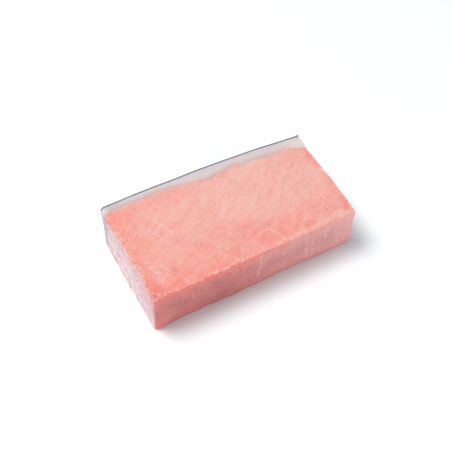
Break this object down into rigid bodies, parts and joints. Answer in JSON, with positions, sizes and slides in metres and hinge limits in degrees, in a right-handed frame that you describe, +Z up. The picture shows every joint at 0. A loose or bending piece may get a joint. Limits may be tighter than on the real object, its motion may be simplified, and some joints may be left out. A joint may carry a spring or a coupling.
{
  "type": "fatty bluefin tuna belly block",
  "caption": "Uncut oblong block of fatty bluefin tuna belly for sashimi: pale pink marbled flesh with a band of white fat and dark skin along one long side.",
  "frame": {"origin": "middle of the block's bounding box, on the face it rests on", "axes": "+X along the length of the block, +Y toward the skin side, +Z up from the lower cut face"},
  "size_m": [0.1665, 0.0936, 0.0394],
  "materials": {
    "flesh": "moist raw fatty tuna flesh, pale salmon pink with fine pale marbling, cut with a knife",
    "fat": "soft translucent white fat under the skin",
    "skin": "thin wet fish skin with fine scales, slate grey"
  },
  "bodies": {
    "root": {"flesh_block": "flesh", "fat_layer": "fat", "skin_layer": "skin"}
  },
  "joints": []
}
